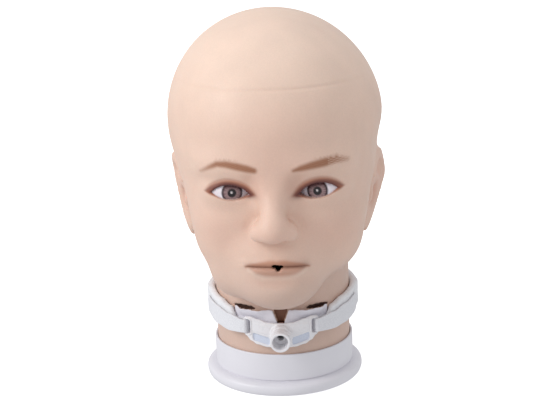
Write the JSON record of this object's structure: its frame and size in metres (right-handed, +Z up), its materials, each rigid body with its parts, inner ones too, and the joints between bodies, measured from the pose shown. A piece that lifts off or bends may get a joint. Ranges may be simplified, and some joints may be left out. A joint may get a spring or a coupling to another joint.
{
  "type": "tracheostomy care training head",
  "caption": "Hollow soft-vinyl training head with a painted face, on a round base, with a removable airway tube, split pad and foam neck band.",
  "frame": {"origin": "centre of the round base, in the plane that its feet stand on", "axes": "+Z up the neck, -Y the way the face looks, +X towards the head's own left ear"},
  "size_m": [0.1644, 0.2119, 0.2835],
  "materials": {
    "skin_vinyl": "soft matte vinyl in a skin colour with a painted face",
    "white_plastic": "moulded, satin",
    "core_plastic": "moulded, matte",
    "tube_plastic": "moulded, semi-gloss",
    "airway_rubber": "soft silicone",
    "foam_fabric": "brushed fabric over thin foam",
    "hook_fabric": "hook tape, fine pile",
    "dressing_fabric": "absorbent non-woven pad",
    "foot_rubber": "matte",
    "steel": "bright zinc-plated"
  },
  "bodies": {
    "base": {"base_shell": "white_plastic", "base_drum": "white_plastic", "neck_plug": "core_plastic", "bottom_cover": "white_plastic", "rubber_foot_1": "foot_rubber", "rubber_foot_2": "foot_rubber", "rubber_foot_3": "foot_rubber", "rubber_foot_4": "foot_rubber", "cover_screw_1": "steel", "cover_screw_2": "steel", "cover_screw_3": "steel", "cover_screw_4": "steel", "pivot_bolt": "steel", "pivot_nut": "steel", "pivot_washer": "steel", "spring_washer": "steel"},
    "head": {"head_skin": "skin_vinyl", "skull_cap": "skin_vinyl", "skull_back": "skin_vinyl", "lip_insert": "skin_vinyl", "neck_skin": "skin_vinyl", "neck_sleeve": "core_plastic", "sleeve_screw_1": "steel", "sleeve_screw_2": "steel", "sleeve_screw_3": "steel", "mouth_tube": "airway_rubber", "larynx_collar": "airway_rubber", "trachea_tube": "airway_rubber", "trachea_bracket": "core_plastic", "trachea_stopper": "foot_rubber", "stoma_bushing": "airway_rubber", "split_dressing": "dressing_fabric", "neck_flange": "tube_plastic", "outer_cannula": "tube_plastic", "band_left": "foam_fabric", "band_right": "foam_fabric", "rear_hook_patch": "hook_fabric", "left_tab_leg": "hook_fabric", "right_tab_leg": "hook_fabric"},
    "inner_tube": {"inner_cannula": "tube_plastic", "connector_15mm": "tube_plastic"},
    "left_tab": {"left_tab_flap": "hook_fabric"},
    "right_tab": {"right_tab_flap": "hook_fabric"}
  },
  "joints": [
    {"name": "head_turn", "type": "hinge", "parent": "base", "child": "head", "pos_m": [0, 0, 0.016], "axis": [0, 0, 1], "range_deg": [-90, 90]},
    {"name": "inner_cannula_withdraw", "type": "hinge", "parent": "head", "child": "inner_tube", "pos_m": [0, -0.0605, 0.0053], "axis": [1, 0, 0], "range_deg": [0, 52]},
    {"name": "left_tab_peel", "type": "hinge", "parent": "head", "child": "left_tab", "pos_m": [-0.02785, -0.05223, 0.0546], "axis": [0, 0, 1], "range_deg": [0, 100]},
    {"name": "right_tab_peel", "type": "hinge", "parent": "head", "child": "right_tab", "pos_m": [0.02785, -0.05223, 0.0546], "axis": [0, 0, -1], "range_deg": [0, 100]}
  ]
}
